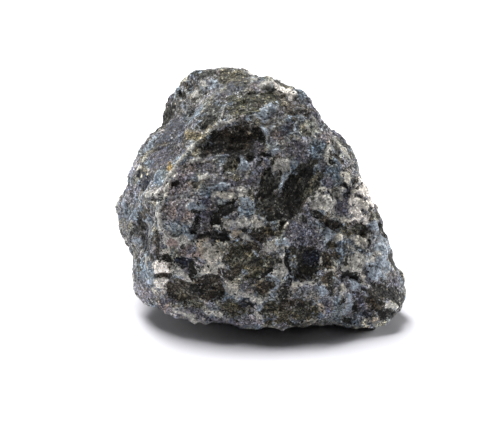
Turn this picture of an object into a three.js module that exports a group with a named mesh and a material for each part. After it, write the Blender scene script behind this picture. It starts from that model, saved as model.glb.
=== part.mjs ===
// A rough piece of gabbro, the size of a small fist: one broken stone, one solid.
// Millimetres, +Z up. +X is to the right of the broad broken face, which looks along -Y.
// The origin is on the flat that the stone rests on, under the middle of its box.
import * as THREE from 'three';
import { ConvexHull } from 'three/addons/math/ConvexHull.js';
import { ImprovedNoise } from 'three/addons/math/ImprovedNoise.js';
import { mergeVertices } from 'three/addons/utils/BufferGeometryUtils.js';

// Fineness of the mesh, and the search for the surface along each ray from the heart
const ICOSPHERE_DETAIL = 21;
const HEART = new THREE.Vector3(-0.5, 4, 24);
const SEARCH_FROM = 52;
const SEARCH_STEP = 0.4;
const BISECTIONS = 16;

// Worn edges between broken faces, and the valleys between lumps
const EDGE_ROUND = 0.3;
const EDGE_GROWTH = 0.35;
const VALLEY_ROUND = 0.3;

// The stone is the union of convex lumps, each given by its corners
const LUMPS = {
  body: [
    // lower rim of the broad face, and its right-hand corner
    [-21.8, -12, 4.9], [-17, -16.3, 4.6], [-12.9, -19, 4.3], [-4, -21, 5], [0.5, -21.5, 4.1],
    [23.6, -15, 1.3], [28, -10.5, 2.2], [29.2, -7, 4.8],
    // right-hand edge of the broad face, going up, and behind it the narrow end face
    [27.8, -11, 5.8], [25.6, -10, 9.8], [23.3, -9.6, 16], [23.4, -8.2, 20.9],
    [26.2, -5.5, 9.5], [24.2, -4.5, 14.5], [24.8, -3, 19.5], [24.2, -2, 22.3],
    // left-hand edge of the broad face, going up
    [-22.2, -13.5, 9], [-22.6, -14.5, 15], [-22.2, -14.8, 21], [-20.8, -14.3, 27.3], [-19.3, -13.3, 31.2],
    [-15.8, -12, 35.3], [-12.5, -9, 39.1],
    // swell of the broad face
    [0, -21.4, 12], [14, -18.8, 12], [0, -18, 25],
    // brow and the crest above it
    [-9, -7.6, 41.4], [-6, -7, 42.5], [-1, -7.2, 42.6], [11, -4, 41.8], [-13.8, 2, 41.3], [-11.6, 1, 44.3],
    [-7.6, 2, 46.4], [-3.6, 2, 47.9], [2.6, 3, 48], [6, 2, 47.3], [8.7, 1, 46.4], [10.1, 0, 43.3],
    [11.8, -1, 41],
    // left-hand end, behind the broad face
    [-25.2, -8.5, 4.1], [-26.6, -5, 5.2], [-26.1, 0, 9.8], [-26.3, 2, 11.8],
    // far side
    [-23, 14, 6], [-10, 22.5, 4.5], [6, 23.5, 4], [18, 18, 4], [26.5, 5, 3.5], [-23, 14, 24],
    [-12, 21.5, 26], [4, 23, 24], [16, 17, 20], [9, 13, 37], [0, 18, 38], [-13, 17, 38],
    // underneath, a little below the level at which the stone is flat
    [-12, -3, -0.8], [-2, -9, -0.8], [12, -9, -0.8], [22, -7, -0.8], [22.5, 4, -0.8], [10, 15, -0.8],
    [-6, 15, -0.8], [-15, 6, -0.8],
  ],
  backTop: [
    [-21.2, 14, 34.3], [-20, 15, 38], [-19.6, 14, 41.6], [-17.2, 13, 44.9], [-14.4, 12, 46.9],
    [-12.6, 11, 48.8], [-9.4, 10, 48.4], [-6.4, 9, 49], [-3.2, 8, 49.2], [-1.4, 7, 47.8],
    [-18.8, 8, 35], [-14.5, 5, 41], [-6, 4, 46],
    [-15.5, 19.5, 36], [-8, 18.5, 40.5], [0, 16, 41], [-20, 18, 26], [2, 19, 34],
  ],
  leftShoulder: [
    [-29.8, 4, 16.4], [-30.2, 5, 21.6], [-29, 6, 25], [-27.6, 7, 29.2], [-24.6, 8, 31.5], [-21.3, 9, 35.3],
    [-20.8, -13.5, 27.3], [-19.3, -12.6, 31.2], [-16, -10, 35.2], [-14, -5, 38.6], [-15, 6, 39.6],
    [-25.5, 13.5, 24], [-22, 15.5, 32.5], [-26.5, 12, 15], [-24.5, 13, 8], [-26.9, 3, 11.3], [-24, -4, 14],
  ],
  rightShoulder: [
    [13.9, 4, 37.5], [16.1, 5, 36.8], [17, 5, 33.3], [19.6, 4, 29.9], [21, 3, 27.2], [20.2, 2, 25],
    [20.7, 0, 23.4], [10, 8, 36], [8, 12, 30], [15.5, 12.5, 28], [20, 10.5, 20], [23, 6, 14], [21, -6, 20],
    [14, -4.5, 30],
  ],
};

// Ledges: just below its crest the face steps back by the drop, and it comes out again over the reach
const LEDGES = [
  { name: 'brow', from: [-12.5, -9, 39], to: [0.5, -7.5, 42.5], drop: 1.8, reach: 6 },
  { name: 'left brow', from: [-19.5, -13.5, 31], to: [-12.5, -9, 39], drop: 0.8, reach: 5 },
  { name: 'low left ledge', from: [-20, -16, 13.9], to: [-9.5, -19.5, 14.8], drop: 1.1, reach: 5 },
  { name: 'middle ledge', from: [-9.5, -17, 24.6], to: [4.3, -17, 25.4], drop: 0.6, reach: 4 },
  { name: 'right ledge', from: [10.8, -14, 25.3], to: [21.8, -9, 22.2], drop: 1.1, reach: 5 },
];
const LEDGE_SOFTNESS = 0.75;
const LEDGE_LEAD = 4.5;
const LEDGE_END_FADE = 0.15;
const LEDGE_NEARNESS = 9;

// Hollows of the broken faces: where, how wide and how deep
const HOLLOWS = [
  { name: 'long dark crystal', at: [5.5, -14, 29], width: 4.2, depth: 0.6 },
  { name: 'dark crystal beside it', at: [0.5, -14.5, 28.5], width: 3.2, depth: 0.6 },
  { name: 'dark patch left of the middle', at: [-9, -17, 24], width: 3.5, depth: 0.7 },
  { name: 'dark block below the middle', at: [8, -19, 14.5], width: 4, depth: 0.6 },
  { name: 'groove by the right corner', at: [18.5, -17, 5.5], width: 3, depth: 0.7 },
  { name: 'waist of the right-hand end', at: [27, -5, 14], width: 5, depth: 0.9 },
  { name: 'arch under the broad face', at: [11, -19, 2], width: 7, depth: 1.4 },
  { name: 'left flank hollow', at: [-27, -1, 24], width: 6, depth: 1.2 },
  { name: 'back scoop', at: [8, 23, 20], width: 9, depth: 3 },
  { name: 'back left scoop', at: [-18, 20, 18], width: 8, depth: 2 },
  { name: 'right flank scoop', at: [23, 10, 12], width: 8, depth: 2.2 },
];

// Facets: the stone broke along its grains, so its faces are small flats, stepped and tilted a little
const FACETS = [
  { cell: 8.5, step: 0.28, tilt: 0.11, round: 0.4, seed: 2 },
  { cell: 4.2, step: 0.18, tilt: 0.13, round: 0.25, seed: 3 },
];
const FACET_REACH = 3;

// Roughness of the broken faces: wavelength and height of each size, and where in the noise each starts
const ROUGHNESS = [
  { wavelength: 14, height: 0.6, start: [0, 0, 0] },
  { wavelength: 3.1, height: 0.25, start: [7.3, 3.1, 5.7] },
];

const vectorOf = (numbers) => new THREE.Vector3(...numbers);

// How far a point stands outside a convex lump: a smooth maximum over the planes of its faces
function planesOf(corners) {
  const hull = new ConvexHull().setFromPoints(corners.map(vectorOf));
  return hull.faces.map((face) => new THREE.Plane(face.normal.clone(), -face.constant));
}

function outsideLump(point, planes) {
  const distances = planes.map((plane) => plane.distanceToPoint(point));
  const most = Math.max(...distances);
  const sum = distances.reduce((total, distance) => total + Math.exp((distance - most) / EDGE_ROUND), 0);
  return most + EDGE_ROUND * Math.log(sum) - EDGE_GROWTH;
}

const lumps = Object.values(LUMPS).map(planesOf);

function outsideLumps(point) {
  const distances = lumps.map((planes) => outsideLump(point, planes));
  const least = Math.min(...distances);
  const sum = distances.reduce((total, distance) => total + Math.exp((least - distance) / VALLEY_ROUND), 0);
  return least - VALLEY_ROUND * Math.log(sum);
}

// A ledge's own axes: along its crest, out of the stone, and down its face
const ledges = LEDGES.map(({ from, to, drop, reach }) => {
  const start = vectorOf(from);
  const along = vectorOf(to).sub(start);
  const length = along.length();
  along.normalize();
  const out = start.clone().addScaledVector(along, length / 2).sub(HEART);
  out.addScaledVector(along, -out.dot(along)).normalize();
  const down = new THREE.Vector3().crossVectors(along, out);
  return { start, along, length, out, down, drop, reach };
});

function fadeIn(share) {
  return THREE.MathUtils.smoothstep(share, -LEDGE_END_FADE, LEDGE_END_FADE);
}

function ledgeDepth(point, { start, along, length, out, down, drop, reach }) {
  const from = point.clone().sub(start);
  const below = from.dot(down);
  if (below < -LEDGE_LEAD || Math.abs(from.dot(out)) > LEDGE_NEARNESS) return 0;
  const share = from.dot(along) / length;
  const step = 1 / (1 + Math.exp(-below / LEDGE_SOFTNESS));
  return drop * fadeIn(share) * fadeIn(1 - share) * step * Math.exp(-Math.max(below, 0) / reach);
}

const hollows = HOLLOWS.map(({ at, width, depth }) => ({ centre: vectorOf(at), width, depth }));

function hollowDepth(point, { centre, width, depth }) {
  return depth * Math.exp(-point.distanceToSquared(centre) / (width * width));
}

const noise = new ImprovedNoise();

function roughnessAt(point) {
  return ROUGHNESS.reduce((total, { wavelength, height, start }) => {
    const { x, y, z } = point.clone().divideScalar(wavelength).add(vectorOf(start));
    return total + height * noise.noise(x, y, z);
  }, 0);
}

// Repeatable random numbers from 0 to 1, by a linear congruential generator
const RANDOM_FACTOR = 1664525;
const RANDOM_STEP = 1013904223;
const RANDOM_RANGE = 2 ** 32;

function randomFrom(seed) {
  let state = seed;
  return () => {
    state = (Math.imul(state, RANDOM_FACTOR) + RANDOM_STEP) >>> 0;
    return state / RANDOM_RANGE;
  };
}

// One facet to each cell of a grid: its middle, the way it tilts and how far it stands out
const CELL_HASH = [73856093, 19349663, 83492791];
const SEED_HASH = 7919;
const DRAWS_THROWN_AWAY = 5;
const facetsByCell = new Map();

function facetOf(cellIndex, { cell, step, tilt, seed }) {
  const key = [seed, ...cellIndex].join(' ');
  if (!facetsByCell.has(key)) {
    const hash = cellIndex.reduce((sum, n, axis) => sum + n * CELL_HASH[axis], seed * SEED_HASH);
    const random = randomFrom(hash);
    for (let draw = 0; draw < DRAWS_THROWN_AWAY; draw += 1) random();
    const either = (size) => size * (2 * random() - 1);
    const middle = vectorOf(cellIndex.map((n) => n + random())).multiplyScalar(cell);
    const slope = new THREE.Vector3(either(tilt), either(tilt), either(tilt));
    facetsByCell.set(key, { middle, slope, level: either(step) - slope.dot(middle) });
  }
  return facetsByCell.get(key);
}

const NEIGHBOURS = [-1, 0, 1];

function facetHeight(point, size) {
  const [i, j, k] = point.toArray().map((along) => Math.floor(along / size.cell));
  const near = [];
  for (const di of NEIGHBOURS) {
    for (const dj of NEIGHBOURS) {
      for (const dk of NEIGHBOURS) {
        const facet = facetOf([i + di, j + dj, k + dk], size);
        near.push({ facet, gap: point.distanceTo(facet.middle) });
      }
    }
  }
  const least = Math.min(...near.map(({ gap }) => gap));
  let total = 0;
  let height = 0;
  for (const { facet, gap } of near) {
    const weight = Math.exp((least - gap) / size.round);
    total += weight;
    height += weight * (facet.level + facet.slope.dot(point));
  }
  return height / total;
}

// How far a point stands outside the whole stone; facets are only worked out near its surface
function outsideStone(point) {
  let outside = outsideLumps(point) - roughnessAt(point);
  for (const ledge of ledges) outside += ledgeDepth(point, ledge);
  for (const hollow of hollows) outside += hollowDepth(point, hollow);
  if (Math.abs(outside) > FACET_REACH) return outside;
  for (const size of FACETS) outside -= facetHeight(point, size);
  return outside;
}

function surfaceAlong(direction) {
  const point = new THREE.Vector3();
  const at = (radius) => point.copy(HEART).addScaledVector(direction, radius);
  let outer = SEARCH_FROM;
  while (outsideStone(at(outer - SEARCH_STEP)) > 0) outer -= SEARCH_STEP;
  let inner = outer - SEARCH_STEP;
  for (let i = 0; i < BISECTIONS; i += 1) {
    const middle = (inner + outer) / 2;
    if (outsideStone(at(middle)) > 0) outer = middle;
    else inner = middle;
  }
  return at(inner).clone();
}

// The sphere's points drawn in to the surface, made flat underneath and set on the origin
function stoneGeometry() {
  const sphere = new THREE.IcosahedronGeometry(1, ICOSPHERE_DETAIL);
  sphere.deleteAttribute('normal');
  sphere.deleteAttribute('uv');
  const geometry = mergeVertices(sphere);
  const position = geometry.getAttribute('position');
  const direction = new THREE.Vector3();
  for (let i = 0; i < position.count; i += 1) {
    direction.fromBufferAttribute(position, i).normalize();
    const point = surfaceAlong(direction);
    position.setXYZ(i, point.x, point.y, Math.max(point.z, 0));
  }
  geometry.computeBoundingBox();
  const middle = geometry.boundingBox.getCenter(new THREE.Vector3());
  geometry.translate(-middle.x, -middle.y, 0);
  geometry.computeVertexNormals();
  return geometry;
}

const stone = new THREE.Mesh(
  stoneGeometry(),
  new THREE.MeshStandardMaterial({ color: 0x5b626b, roughness: 0.6, metalness: 0 }),
);
stone.name = 'stone';

const gabbro = new THREE.Group();
gabbro.add(stone);

export default gabbro;
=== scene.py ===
# A rough piece of gabbro on a pale floor, in soft studio light.
# The fine surface is worked out from the frame's solid: its mesh is divided and rounded, the crystals of the
# broken rock are laid over it, and each of them stands out, sinks or tilts a little.
# The functions for the stone work in millimetres; Blender gets metres.
import math
from collections import namedtuple
from itertools import product

import bpy
import numpy as np
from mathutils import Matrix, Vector


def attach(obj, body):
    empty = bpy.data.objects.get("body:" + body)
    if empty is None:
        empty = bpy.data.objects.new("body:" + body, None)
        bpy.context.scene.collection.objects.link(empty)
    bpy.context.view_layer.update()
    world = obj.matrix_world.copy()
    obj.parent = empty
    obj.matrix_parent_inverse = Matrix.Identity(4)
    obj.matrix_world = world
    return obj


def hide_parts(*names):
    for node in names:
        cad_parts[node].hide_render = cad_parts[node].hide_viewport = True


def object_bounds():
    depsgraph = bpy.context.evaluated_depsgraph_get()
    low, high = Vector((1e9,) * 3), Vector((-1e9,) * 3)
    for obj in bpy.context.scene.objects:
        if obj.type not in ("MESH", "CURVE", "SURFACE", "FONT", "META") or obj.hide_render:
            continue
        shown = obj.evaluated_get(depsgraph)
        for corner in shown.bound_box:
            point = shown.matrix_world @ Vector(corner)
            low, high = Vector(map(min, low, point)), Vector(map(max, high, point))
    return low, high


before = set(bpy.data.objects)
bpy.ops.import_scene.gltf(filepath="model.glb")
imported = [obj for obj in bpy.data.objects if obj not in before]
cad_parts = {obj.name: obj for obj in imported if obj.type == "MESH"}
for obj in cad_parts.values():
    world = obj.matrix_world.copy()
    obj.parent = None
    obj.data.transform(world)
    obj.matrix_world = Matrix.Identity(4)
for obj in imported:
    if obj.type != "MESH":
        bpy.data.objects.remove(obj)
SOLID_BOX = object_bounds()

MM = 0.001

# The view of the photograph: where it looks from, and what it takes in from left to right at the target
VIEW_ELEVATION = math.radians(20)
VIEW_DISTANCE = 450.0
VIEW_TARGET = np.array([-2.44, 5.2, 17.17])
PICTURE_WIDTH = 103.8
SENSOR_WIDTH = 36.0
BACK = np.array([0.0, -math.cos(VIEW_ELEVATION), math.sin(VIEW_ELEVATION)])
RIGHT = np.array([1.0, 0.0, 0.0])
UP = np.cross(BACK, RIGHT)
EYE = VIEW_TARGET + VIEW_DISTANCE * BACK


# Repeatable random numbers and noise

HASH_FACTORS = np.array([0x8DA6B343, 0xD8163841, 0xCB1AB31F], dtype=np.uint32)
SEED_FACTOR = 0x9E3779B1
DRAW_FACTOR = 0x85EBCA6B
HASH_ROUNDS = ((16, 0x7FEB352D), (15, 0x846CA68B))
WORD = 0xFFFFFFFF


def random_of(cells, seed, draw=0):
    """Numbers from 0 to 1, always the same for a whole-numbered cell, a seed and a draw."""
    words = cells.astype(np.int64) & WORD
    mixed = (words.astype(np.uint32) * HASH_FACTORS).sum(axis=-1, dtype=np.uint32)
    mixed ^= np.uint32((seed * SEED_FACTOR + draw * DRAW_FACTOR) & WORD)
    for shift, factor in HASH_ROUNDS:
        mixed ^= mixed >> np.uint32(shift)
        mixed *= np.uint32(factor)
    mixed ^= mixed >> np.uint32(HASH_ROUNDS[0][0])
    return mixed / float(WORD)


def random_vectors(cells, seed, draw=0):
    """Vectors whose parts run from -1 to 1. They take three draws."""
    parts = [2 * random_of(cells, seed, draw + axis) - 1 for axis in range(3)]
    return np.stack(parts, axis=-1)


def noise(points, wavelength, seed):
    """Smooth noise from about -0.7 to 0.7."""
    scaled = points / wavelength
    cell = np.floor(scaled)
    part = scaled - cell
    eased = part ** 3 * (part * (part * 6 - 15) + 10)
    total = np.zeros(len(points))
    for corner in product((0, 1), repeat=3):
        offset = np.array(corner)
        weight = np.prod(np.where(offset == 1, eased, 1 - eased), axis=1)
        total += weight * ((part - offset) * random_vectors(cell + offset, seed)).sum(axis=1)
    return total


def noise_vectors(points, wavelength, seed):
    return np.stack([noise(points, wavelength, seed + axis) for axis in range(3)], axis=1)


def smoothstep(low, high, value):
    share = np.clip((value - low) / (high - low), 0, 1)
    return share * share * (3 - 2 * share)


def of_length_one(vectors):
    return vectors / np.linalg.norm(vectors, axis=1)[:, None]


# The fine mesh. Triangles are divided, and each round of smoothing rounds corners and draws them back out.
# What lies below the floor level rests on the floor.

DIVISIONS = 2
SMOOTH_ROUNDS = 4
SMOOTH_SHARES = (0.5, -0.52)
FLOOR_LEVEL = 0.02
WELD_DIGITS = 4


def welded_mesh(node):
    """The corners of a frame node in millimetres, each once, and its triangles."""
    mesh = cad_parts[node].data
    corners = np.zeros(len(mesh.vertices) * 3)
    mesh.vertices.foreach_get("co", corners)
    mesh.calc_loop_triangles()
    triangles = np.zeros(len(mesh.loop_triangles) * 3, dtype=np.int32)
    mesh.loop_triangles.foreach_get("vertices", triangles)
    rounded = np.round(corners.reshape(-1, 3) / MM, WELD_DIGITS)
    points, place = np.unique(rounded, axis=0, return_inverse=True)
    return points, place.reshape(-1)[triangles].reshape(-1, 3)


def edges_of(triangles):
    return np.concatenate([triangles[:, [0, 1]], triangles[:, [1, 2]], triangles[:, [2, 0]]])


def divided(points, triangles):
    """Each triangle as four."""
    unique, place = np.unique(np.sort(edges_of(triangles), axis=1), axis=0, return_inverse=True)
    middles = place.reshape(3, -1) + len(points)
    a, b, c = triangles.T
    ab, bc, ca = middles
    parts = [(a, ab, ca), (ab, b, bc), (ca, bc, c), (ab, bc, ca)]
    finer = np.concatenate([np.stack(part, axis=1) for part in parts])
    return np.concatenate([points, points[unique].mean(axis=1)]), finer


def neighbours_of(triangles):
    """Each edge both ways, as (from, to)."""
    edges = edges_of(triangles)
    return np.concatenate([edges, edges[:, ::-1]])


def averaged(vectors, group, count):
    """The mean vector of each group."""
    sums = [np.bincount(group, weights=part, minlength=count) for part in vectors.T]
    return np.stack(sums, axis=1) / np.bincount(group, minlength=count)[:, None]


def around(points, links):
    """The mean of each point's neighbours."""
    return averaged(points[links[:, 1]], links[:, 0], len(points))


def smoothed(points, triangles):
    """Rounds small corners off and keeps the size; what lies on the floor stays on it."""
    links = neighbours_of(triangles)
    resting = points[:, 2] < FLOOR_LEVEL
    moved = points.copy()
    for _ in range(SMOOTH_ROUNDS):
        for share in SMOOTH_SHARES:
            moved += share * (around(moved, links) - moved)
        moved[resting, 2] = 0
    moved[:, 2] = np.maximum(moved[:, 2], 0)
    return moved


def normals_of(points, triangles):
    a, b, c = (points[triangles[:, corner]] for corner in range(3))
    across = np.cross(b - a, c - a)
    total = np.zeros_like(points)
    for corner in range(3):
        np.add.at(total, triangles[:, corner], across)
    return of_length_one(total)


# Crystals

def in_picture(points):
    """Across and up in the plane of the picture through the target, and depth behind that plane."""
    from_eye = points - EYE
    away = -(from_eye @ BACK)
    scale = VIEW_DISTANCE / away
    return np.stack([(from_eye @ RIGHT) * scale, (from_eye @ UP) * scale, away - VIEW_DISTANCE], axis=1)


# Minerals: how they lie in the rock, and their colour on a screen. Dark and light crystals have edges; a tint
# only shades the feldspar between them.
MINERALS = {
    "black": ("dark", (21, 21, 20)), "dark": ("dark", (32, 32, 30)), "umber": ("dark", (45, 43, 40)),
    "brown": ("dark", (51, 49, 46)), "olive": ("dark", (65, 64, 59)), "khaki": ("dark", (81, 80, 75)),
    "moss": ("dark", (46, 46, 40)), "ink": ("dark", (34, 36, 41)), "straw": ("dark", (112, 110, 104)),
    "white": ("light", (190, 187, 183)), "cream": ("light", (155, 153, 148)),
    "pale": ("light", (139, 138, 135)), "mist": ("light", (124, 128, 132)),
    "beige": ("light", (133, 128, 121)), "pink": ("light", (134, 126, 123)),
    "grey": ("tint", (98, 98, 97)), "slate": ("tint", (66, 65, 69)), "blue": ("tint", (90, 95, 99)),
    "lilac": ("tint", (106, 105, 108)), "mauve": ("tint", (96, 92, 92)), "sand": ("tint", (118, 117, 110)),
    # Painted shade: the darkest tint below is no mineral; it darkens upper faces where the light from above
    # falls
    "ash": ("tint", (50, 51, 55)), "tan": ("tint", (91, 86, 74)), "rust": ("tint", (120, 106, 82)),
}

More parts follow.
